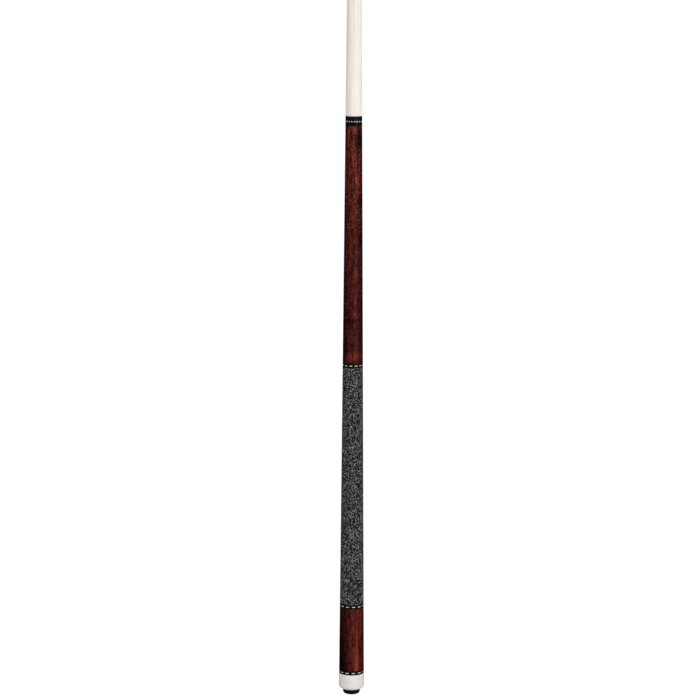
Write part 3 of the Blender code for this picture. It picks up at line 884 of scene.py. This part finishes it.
def pale_maple():
    """Sealed straight-grained maple, a little see-through, with chalk dust below the ferrule."""
    wood = Finish(
        "pale_maple_finish",
        Coat_Weight=0.10,
        Coat_Roughness=0.40,
        Specular_IOR_Level=0.20,
        Subsurface_Weight=0.6,
        Subsurface_Scale=0.004,
    )
    wood.shader.inputs["Subsurface Radius"].default_value = (1.0, 0.75, 0.5)
    lines = wood.noise(wood.stretched(1.0, 0.012), 420.0, 4.0, 0.55, 0.3)
    fine = wood.noise(wood.stretched(1.0, 0.03, 5.0), 1600.0, 3.0, 0.6)
    warm = wood.noise(wood.stretched(1.0, 0.25, 9.0), 45.0, 2.0)
    tone = lines * 0.5 + fine * 0.25 + warm * 0.25
    maple = wood.colours(
        tone,
        (0.36, 0.75, 0.68, 0.57),
        (0.47, 0.79, 0.75, 0.685),
        (0.60, 0.82, 0.80, 0.755),
    )
    pores = wood.noise(wood.stretched(1.0, 0.10, 2.0), 2400.0, 2.0)
    pore = (1.0 - wood.window(pores, 0.28, 0.38)) * 0.5
    maple = wood.mixed(pore, maple, PORE_BROWN)
    height = wood.xyz()[2]
    dust = wood.noise(wood.place, 130.0, 4.0, 0.6)
    chalk = wood.window(height, CHALK_FROM, CHALK_TO) * wood.window(dust, 0.40, 0.70) * 0.45
    wood.colour(wood.mixed(chalk, maple, CHALK_BLUE))
    wood.rough(0.36, 0.50, fine)
    wood.bump(fine, 0.010 * MM)
    return wood.material


pale_wood = pale_maple()
print(pale_wood.name)

# %% [markdown]
# **Linen.** The wrap is one long thread of black linen with pale strands twisted into it, wound
# round the handle and pressed flat. The colour has to follow the thread, so the pattern works in
# the thread's own coordinates: how far along it a point is, which turn it is on, and how far
# across that turn.

# %% Black linen with pale strands
YARN_PITCH = 0.9 * MM
WRAP_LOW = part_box("linen_wrap")[0].z
YARN_TWIST = 1.3 * MM
FLECK_LENGTH = 1.6 * MM
FLECKS, SPECKS, FIBRES = 0.33, 0.60, 0.07
PALE_FROM = 0.505
PALE_TO = 0.590
VALLEY_FROM = 0.72
VALLEY_DARK = (0.004, 0.004, 0.004)


def black_linen():
    """Black yarn with pale strands in it, wound turn on turn and pressed."""
    linen = Finish("black_linen_finish", Specular_IOR_Level=0.06)
    x, y, z = linen.xyz()
    around = (y.function("ARCTAN2", x) / math.tau).function("FRACT")
    turns = (z - WRAP_LOW) / YARN_PITCH - around
    turn = turns.function("FLOOR")
    across = turns - turn
    reach = (x * x + y * y).function("SQRT")
    along = (turn + around) * reach * math.tau
    # strands of the yarn come round to the top once a twist, on a slant across it
    strand = (along / YARN_TWIST + across * 0.8).function("FRACT")
    strand = 1.0 - ((strand - 0.5) * 2.0).function("ABSOLUTE")
    # each fleck keeps to its own turn of yarn and slants across it, as its strand does
    spot = linen.point(along / FLECK_LENGTH + across * 0.7, turn * 5.71 + across * 0.5)
    flecks = linen.noise(spot, 1.0, 2.0, 0.6, 0.5)
    specks = linen.noise(linen.stretched(1.0, 0.75), 800.0, 1.0, 0.5, 0.4)
    fibres = linen.noise(linen.stretched(1.0, 1.0, 6.0), 3800.0, 2.0, 0.6)
    shown = flecks * FLECKS + specks * SPECKS + fibres * FIBRES
    pale = linen.window(shown, PALE_FROM, PALE_TO) * (0.6 + strand * 0.4)
    thread = linen.colours(
        pale,
        (0.0, 0.0085, 0.0080, 0.0085),
        (0.35, 0.024, 0.023, 0.024),
        (1.0, 0.40, 0.395, 0.41),
    )
    # little light reaches the valley between two turns
    off_middle = ((across - 0.5) * 2.0).function("ABSOLUTE")
    valley = linen.window(off_middle, VALLEY_FROM, 1.0)
    linen.colour(linen.mixed(valley * 0.75, thread, VALLEY_DARK))
    linen.rough(0.90, 0.68, pale)
    linen.bump(strand, 0.05 * MM)
    return linen.material


linen_finish = black_linen()
print(linen_finish.name, f"at {YARN_PITCH / MM:.1f} mm a turn")

# %% [markdown]
# **Black rings, dashes and caps.** Phenolic takes a polish and shows only hair-fine turning marks.
# The dashes are pale metal under lacquer, a little uneven in tone from one to the next. The cap
# and the ferrule are cast resin, off-white with a faint warm cloud in it. The collar of the shaft
# is the same black, left satin.

# %% Turned phenolic and resin
TONE_LOW = 0.35
TONE_HIGH = 0.65
ROUND_THE_AXIS = 0.02
TURNING_MARKS = 5200.0
TURNING_MARK_DEPTH = 0.004 * MM


def turned_resin(name, dark, light, rough, marks=0.5, clouds=60.0, **sockets):
    """Turned and polished stock, with faint clouds in its colour and turning marks round it."""
    resin = Finish(name, **sockets)
    cloud = resin.noise(resin.place, clouds, 3.0)
    mark = resin.noise(resin.stretched(ROUND_THE_AXIS, 1.0), TURNING_MARKS, 2.0)
    resin.colour(resin.colours(cloud, (TONE_LOW, *dark), (TONE_HIGH, *light)))
    resin.rough(*rough, mark)
    resin.bump(mark, marks * TURNING_MARK_DEPTH)
    return resin.material


gloss_black = turned_resin(
    "polished_black_phenolic",
    dark=(0.0024, 0.0022, 0.0024), light=(0.0046, 0.0043, 0.0045),
    rough=(0.30, 0.40),
    Specular_IOR_Level=0.07,
)
satin_black = turned_resin(
    "satin_black_phenolic",
    dark=(0.0040, 0.0038, 0.0043), light=(0.0068, 0.0064, 0.0071),
    rough=(0.50, 0.62), marks=1.5,
    Specular_IOR_Level=0.10,
)
cap_white = turned_resin(
    "off_white_cap_resin",
    dark=(0.700, 0.680, 0.635), light=(0.755, 0.738, 0.700),
    rough=(0.34, 0.42), marks=0.6,
    Specular_IOR_Level=0.4,
    Coat_Weight=0.2,
    Coat_Roughness=0.3,
)
ferrule_white = turned_resin(
    "ferrule_resin",
    dark=(0.77, 0.74, 0.66), light=(0.84, 0.82, 0.76),
    rough=(0.26, 0.36), marks=0.8,
    clouds=140.0,
    Specular_IOR_Level=0.45,
)
for resin in (gloss_black, satin_black, cap_white, ferrule_white):
    print("resin:", resin.name)

# %% Metals
TOOL_MARKS = 4200.0
TOOL_MARK_DEPTH = 0.006 * MM


def turned_metal(name, dark, light, rough, clouds=300.0, marks=1.0, **sockets):
    """Turned metal: tool marks round the axis, with a cloudy change of tone over them."""
    metal = Finish(name, **sockets)
    cloud = metal.noise(metal.place, clouds, 3.0)
    mark = metal.noise(metal.stretched(ROUND_THE_AXIS, 1.0), TOOL_MARKS, 3.0)
    tone = cloud * 0.7 + mark * 0.3
    metal.colour(metal.colours(tone, (TONE_LOW, *dark), (TONE_HIGH, *light)))
    metal.rough(*rough, mark)
    metal.bump(mark, marks * TOOL_MARK_DEPTH)
    return metal.material


silver = turned_metal(
    "silver_dash",
    dark=(0.70, 0.695, 0.68), light=(0.92, 0.91, 0.89),
    rough=(0.40, 0.55),
    Metallic=0.15,
)
champagne = turned_metal(
    "champagne_dash",
    dark=(0.62, 0.54, 0.43), light=(0.84, 0.76, 0.63),
    rough=(0.40, 0.55),
    Metallic=0.15,
)
pin_steel = turned_metal(
    "joint_pin_steel",
    dark=(0.60, 0.60, 0.61), light=(0.78, 0.78, 0.79),
    rough=(0.38, 0.54),
    Metallic=1.0,
)
bolt_steel = turned_metal(
    "plain_bolt_steel",
    dark=(0.30, 0.30, 0.31), light=(0.52, 0.52, 0.53),
    rough=(0.35, 0.55),
    clouds=120.0,
    marks=2.0,
    Metallic=1.0,
)
insert_brass = turned_metal(
    "insert_brass",
    dark=(0.55, 0.37, 0.12), light=(0.76, 0.56, 0.24),
    rough=(0.24, 0.40),
    Metallic=1.0,
)
for metal in (silver, champagne, pin_steel, bolt_steel, insert_brass):
    print("metal:", metal.name)

# %% [markdown]
# **Rubber, leather, fibre and bare maple.** The bumper is moulded rubber with a dull skin. The tip
# is layers of pressed leather under blue chalk, the pad is red fibre, and the wood inside the
# handle is bare.

# %% Rubber, leather, fibre and bare maple
TIP_CHALK = (0.085, 0.21, 0.34)
CHALK_FADES = 4.5 * MM
CHALK_THICK = 0.8 * MM


def moulded_rubber():
    rubber = Finish("moulded_black_rubber", Specular_IOR_Level=0.08)
    skin = rubber.noise(rubber.place, 2600.0, 3.0, 0.6)
    wear = rubber.noise(rubber.place, 240.0, 4.0)
    rubber.colour(
        rubber.colours(wear, (0.35, 0.0020, 0.0022, 0.0025), (0.70, 0.0048, 0.0052, 0.0057))
    )
    rubber.rough(0.50, 0.68, skin)
    rubber.bump(skin, 0.02 * MM)
    return rubber.material


def chalked_leather():
    leather = Finish("chalked_leather", Specular_IOR_Level=0.2)
    layers = leather.noise(leather.stretched(0.05, 1.0), 2600.0, 2.0)
    nap = leather.noise(leather.place, 1500.0, 4.0, 0.65)
    hide = leather.colours(layers, (0.38, 0.10, 0.062, 0.034), (0.62, 0.23, 0.15, 0.085))
    height = leather.xyz()[2]
    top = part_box("tip")[1].z
    reach = leather.window(height, top - CHALK_FADES, top - CHALK_THICK)
    dust = reach * leather.window(nap, 0.28, 0.55)
    leather.colour(leather.mixed(dust * 0.9, hide, TIP_CHALK))
    leather.rough(0.78, 0.95, nap)
    leather.bump(nap, 0.08 * MM)
    return leather.material


def pressed_fibre():
    fibre = Finish("pressed_red_fibre", Specular_IOR_Level=0.3)
    strands = fibre.noise(fibre.stretched(1.0, 3.0), 1100.0, 4.0, 0.6)
    fibre.colour(fibre.colours(strands, (0.35, 0.20, 0.018, 0.012), (0.65, 0.36, 0.045, 0.03)))
    fibre.rough(0.60, 0.80, strands)
    fibre.bump(strands, 0.02 * MM)
    return fibre.material


def bare_maple():
    wood = Finish("bare_maple", Specular_IOR_Level=0.3)
    lines = wood.noise(wood.stretched(1.0, 0.03), 500.0, 4.0, 0.55)
    wood.colour(wood.colours(lines, (0.36, 0.48, 0.31, 0.16), (0.62, 0.68, 0.50, 0.31)))
    wood.rough(0.62, 0.78, lines)
    wood.bump(lines, 0.03 * MM)
    return wood.material


rubber_finish = moulded_rubber()
leather_finish = chalked_leather()
fibre_finish = pressed_fibre()
core_finish = bare_maple()
for soft in (rubber_finish, leather_finish, fibre_finish, core_finish):
    print("finish:", soft.name)

# %% [markdown]
# ## Turned pieces
# These come straight off the lathe: forearm, sleeve, cap, shaft and its collar, ferrule, pad, tip
# and bumper. Each one stands for the CAD node of the same shape and rides on the body that holds
# it.

# %% Fit a piece to the frame
body_of = {
    node: body
    for body, members in frame["record"]["behaviour"]["bodies"].items()
    for node in members
}


def fit(piece, node):
    """The piece rides on the node's body and stands for the node, which is hidden."""
    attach(piece, body_of[node])
    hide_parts(node)
    faces = len(piece.data.polygons)
    print(f"{piece.name}: {faces} faces on {body_of[node]}, for {node}")


# %% Turn them
TURNED = {
    "forearm": ("forearm_wood", forearm_finish),
    "butt_sleeve": ("sleeve_wood", sleeve_finish),
    "butt_cap": ("white_cap", cap_white),
    "shaft_collar": ("satin_shaft_collar", satin_black),
    "shaft": ("maple_shaft", pale_wood),
    "ferrule": ("white_ferrule", ferrule_white),
    "tip_pad": ("fibre_pad", fibre_finish),
    "tip": ("leather_tip", leather_finish),
    "bumper": ("rubber_bumper", rubber_finish),
}
SOFT_EDGES = {"butt_cap": 0.35 * MM, "bumper": 0.35 * MM, "tip": 0.45 * MM}

for node, (name, material) in TURNED.items():
    fit(turned(name, node, material, SOFT_EDGES.get(node, EDGE)), node)

# %% [markdown]
# ## Ring sets
# A ring set is three rings on one tenon: a black trim, a ring of dashes, and another black trim
# whose fingers fill the spaces between the dashes. The finished cue is turned flush, so dashes and
# fingers share one surface, with a hairline round every dash. The dashes are slimmer than the CAD
# ring that they stand for: the black above and below laps over that ring by a few tenths of a
# millimetre, and the fingers are wider. At the joint, the collar below the dashes is lifted in the
# same way.

# %% Sizes of a ring


def ring_radii(node):
    """The bore and the outer radius of a ring, from its vertices."""
    reaches = [math.hypot(v.co.x, v.co.y) for v in nodes[node].data.vertices]
    return min(reaches), max(reaches)


def plain_ring(inner, outer, low, high):
    """A ring of square section with softened corners, as a bmesh."""
    outline = [(inner, low), (outer, low), (outer, high), (inner, high)]
    return spun(softened(outline, True, EDGE), True)


def together(shape, other):
    """Puts a second shape into the first one."""
    mesh = bpy.data.meshes.new("passing")
    other.to_mesh(mesh)
    other.free()
    shape.from_mesh(mesh)
    bpy.data.meshes.remove(mesh)
    return shape


print("radii of the joint's trim:", [round(r / MM, 2) for r in ring_radii("joint_trim")])

# %% Blocks with rounded edges
BLOCK_EDGE = 0.12 * MM
BLOCK_EDGE_STEPS = 2
DASH_DEPTH = 1.4 * MM
FINGER_DEPTH = 1.0 * MM
FINGER_ROOT = 0.3 * MM
FINGER_SINK = 0.01 * MM


def blocks(count, share, inner, outer, low, high, middle, material):
    """A ring of curved blocks, each a share of its part of the turn wide, less a hairline."""
    shape = grown(
        block_ring,
        Count=count,
        Inner=inner,
        Outer=outer,
        Low=low,
        High=high,
        Width=share * math.tau * outer / count - SEAM,
        Start=math.radians(middle),
        Finish=material,
    )
    sharp = [edge for edge in shape.edges if edge.calc_face_angle(0.0) > CORNER]
    bmesh.ops.bevel(
        shape,
        geom=sharp,
        offset=BLOCK_EDGE,
        segments=BLOCK_EDGE_STEPS,
        profile=0.5,
        affect="EDGES",
    )
    return shape


print("blocks ready")

# %% Make a ring set
RING_DASHES = 12
RING_SHARE = 0.53
RING_MARGINS = (0.15 * MM, 0.45 * MM)
RING_MIDDLES = {"cap_ring": -81.0, "lower_wrap_ring": -81.1, "upper_wrap_ring": -100.9}
JOINT_DASHES = 20
JOINT_SHARE = 0.42
JOINT_MARGINS = (0.28 * MM, 0.10 * MM)
JOINT_MIDDLE = -85.4


def dash_row(prefix, dash_name, upper_name, top, count, share, middle, margins, metal):
    """The dashes, the black ring above them and its fingers.

    margins are the heights of black that lap over the dashes, below and above.
    """
    bore, outer = ring_radii(dash_name)
    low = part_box(dash_name)[0].z + margins[0]
    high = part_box(dash_name)[1].z + CAD_GAP - margins[1]

    base = plain_ring(bore, outer - DASH_DEPTH + EDGE, low, high - SEAM)
    dashes = blocks(count, share, outer - DASH_DEPTH, outer, low, high - SEAM, middle, metal)
    fit(keep_mesh(prefix + "_dashes", together(base, dashes), metal), dash_name)

    upper = plain_ring(bore, outer, high, top - SEAM)
    between_dashes = middle + 180.0 / count
    inner, face = outer - FINGER_DEPTH, outer - FINGER_SINK
    root = high + FINGER_ROOT
    fingers = blocks(count, 1.0 - share, inner, face, low, root, between_dashes, gloss_black)
    fit(keep_mesh(prefix + "_upper_black_ring", together(upper, fingers), gloss_black), upper_name)


for ring, middle in RING_MIDDLES.items():
    lower_name, dash_name, upper_name = (
        ring + part for part in ("_lower_trim", "_stitch_ring", "_upper_trim")
    )
    bore, outer = ring_radii(dash_name)
    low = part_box(lower_name)[0].z
    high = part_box(dash_name)[0].z + RING_MARGINS[0]
    lower = plain_ring(bore, outer, low, high - SEAM)
    fit(keep_mesh(ring + "_lower_black_ring", lower, gloss_black), lower_name)
    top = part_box(upper_name)[1].z + CAD_GAP
    dash_row(
        ring, dash_name, upper_name, top, RING_DASHES, RING_SHARE, middle, RING_MARGINS, champagne
    )

joint_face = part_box("shaft_collar")[0].z
collar = spun(*skin_outline("joint_collar", lift=JOINT_MARGINS[0]))
fit(keep_mesh("black_joint_collar", collar, gloss_black), "joint_collar")
dashes = ("joint", "joint_stitch_ring", "joint_trim", joint_face, JOINT_DASHES, JOINT_SHARE)
dash_row(*dashes, JOINT_MIDDLE, JOINT_MARGINS, silver)

# %% [markdown]
# ## The linen winding
# Three hundred and forty turns of yarn make the handle's skin. They are one helix, with a round
# back to each turn, closed by a smooth inner wall that sits on the handle's core.

# %% Wind the linen
YARN_RIDGE = 0.13 * MM
YARN_COLUMNS = 64
YARN_ROWS = 4
YARN_END = 0.5

wrap_outline, _ = outline_of("linen_wrap")
wrap_high = raised(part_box("linen_wrap")[1].z)
lower_half = [r for r, z in wrap_outline if z < WRAP_LOW + TOUCH]
upper_half = [r for r, z in wrap_outline if z > WRAP_LOW + TOUCH]
winding = grown(
    yarn_helix,
    Columns=YARN_COLUMNS,
    Rows=YARN_ROWS,
    Pitch=YARN_PITCH,
    Low=WRAP_LOW,
    High=wrap_high,
    RadiusLow=max(lower_half) - YARN_RIDGE,
    RadiusHigh=max(upper_half) - YARN_RIDGE,
    Ridge=YARN_RIDGE,
    Fade=YARN_PITCH / 2.0,
    EndLevel=YARN_END,
    Finish=linen_finish,
)
rim_drop = YARN_RIDGE * (1.0 - YARN_END)
pull_rim(
    winding,
    WRAP_LOW,
    [
        (min(lower_half), WRAP_LOW),
        (min(upper_half), wrap_high),
        (max(upper_half) - rim_drop, wrap_high),
    ],
)
fit(keep_mesh("linen_winding", winding, linen_finish), "linen_wrap")

# %% [markdown]
# ## The joint's threads
# The pin is a 5/16 inch bolt thread, 18 turns to the inch, right-handed. The brass insert in the
# shaft has the same thread cut into its bore, a little wider, so the two run in mesh as the shaft
# is unscrewed.

# %% Cut the threads
THREAD_COLUMNS = 48
THREAD_ROWS = 14
PIN_CHAMFER = 1.0 * MM
ANCHOR_CHAMFER = 0.4 * MM

pin_low, pin_top = (corner.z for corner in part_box("joint_pin"))
pin_radius = ring_radii("joint_pin")[1]
root = pin_radius - THREAD_DEPTH
pin_high = pin_top - PIN_CHAMFER
common = {
    "Columns": THREAD_COLUMNS,
    "Rows": THREAD_ROWS,
    "Pitch": THREAD_PITCH,
    "Low": joint_face,
    "Ridge": THREAD_DEPTH,
    "Fade": THREAD_PITCH,
}
pin = grown(
    thread_helix,
    High=pin_high,
    RadiusLow=root,
    RadiusHigh=root,
    EndLevel=0.0,
    Finish=pin_steel,
    **common,
)
pull_rim(pin, pin_high, [(root - PIN_CHAMFER, pin_top)], cap=True)
shank = [
    (pin_radius, joint_face - THREAD_DEPTH),
    (pin_radius, pin_low + ANCHOR_CHAMFER),
    (pin_radius - ANCHOR_CHAMFER, pin_low),
]
pull_rim(pin, joint_face, shank, cap=True)
fit(keep_mesh("threaded_pin", pin, pin_steel), "joint_pin")

insert_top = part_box("shaft_insert")[1].z
land, insert_radius = ring_radii("shaft_insert")
insert = grown(
    thread_helix,
    High=insert_top,
    RadiusLow=land,
    RadiusHigh=land,
    EndLevel=1.0,
    Finish=insert_brass,
    **common,
)
wall = [
    (insert_radius, joint_face),
    (insert_radius, insert_top),
    (land + THREAD_DEPTH, insert_top),
]
pull_rim(insert, joint_face, wall)
fit(keep_mesh("threaded_insert", insert, insert_brass), "shaft_insert")

# %% [markdown]
# ## Hidden joinery
# The handle's core, the stud and the weight bolt already have their true shapes in the CAD model,
# so they stay as they are and only get their finishes.

# %% Finish the hidden pieces
HIDDEN = {
    "handle_core": core_finish,
    "handle_stud": pin_steel,
    "weight_bolt": bolt_steel,
}
for node, material in HIDDEN.items():
    for spot in nodes[node].material_slots:
        spot.material = material
    print(f"{node} keeps its CAD shape, in {material.name}")
